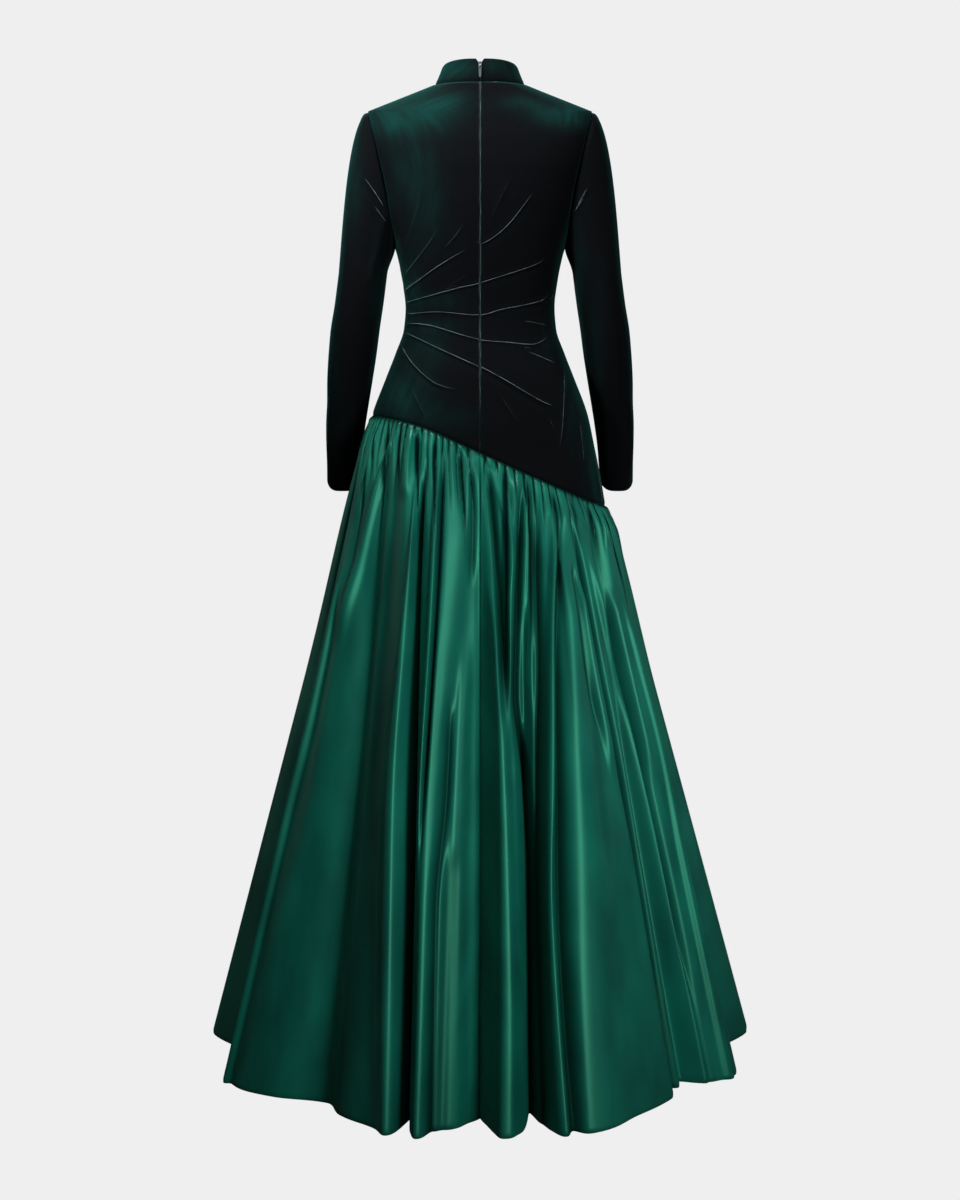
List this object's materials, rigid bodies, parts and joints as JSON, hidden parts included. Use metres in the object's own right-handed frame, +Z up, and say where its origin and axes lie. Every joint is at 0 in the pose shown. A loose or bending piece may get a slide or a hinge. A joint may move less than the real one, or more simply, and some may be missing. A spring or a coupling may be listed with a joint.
{
  "type": "evening gown",
  "caption": "Floor-length long-sleeved evening gown with a stand collar, a back zip and a full skirt gathered onto a slanting dropped waist seam.",
  "frame": {"origin": "centre of the neck opening, level with the neck ends of the shoulder seams, where the wearer's shoulders carry the gown", "axes": "+Z up, -Y towards the gown's front, +X towards the wearer's left"},
  "size_m": [0.908, 0.9262, 1.6024],
  "materials": {
    "velvet": "deep green silk-like pile velvet",
    "satin": "emerald satin with a soft gloss",
    "zip_tape": "woven polyester tape with a nylon coil",
    "zip_metal": "plated zinc"
  },
  "bodies": {
    "gown": {"bodice_front": "velvet", "bodice_back_left": "velvet", "bodice_back_right": "velvet", "sleeve_left": "velvet", "sleeve_right": "velvet", "collar_stand": "velvet", "skirt_front": "satin", "skirt_back_left": "satin", "skirt_back_right": "satin", "zip_tape": "zip_tape", "zip_slider": "zip_metal"},
    "pull": {"zip_pull": "zip_metal"}
  },
  "joints": [
    {"name": "pull_hinge", "type": "hinge", "parent": "gown", "child": "pull", "pos_m": [0, 0.067, 0.02085], "axis": [1, 0, 0], "range_deg": [0, 150]}
  ]
}
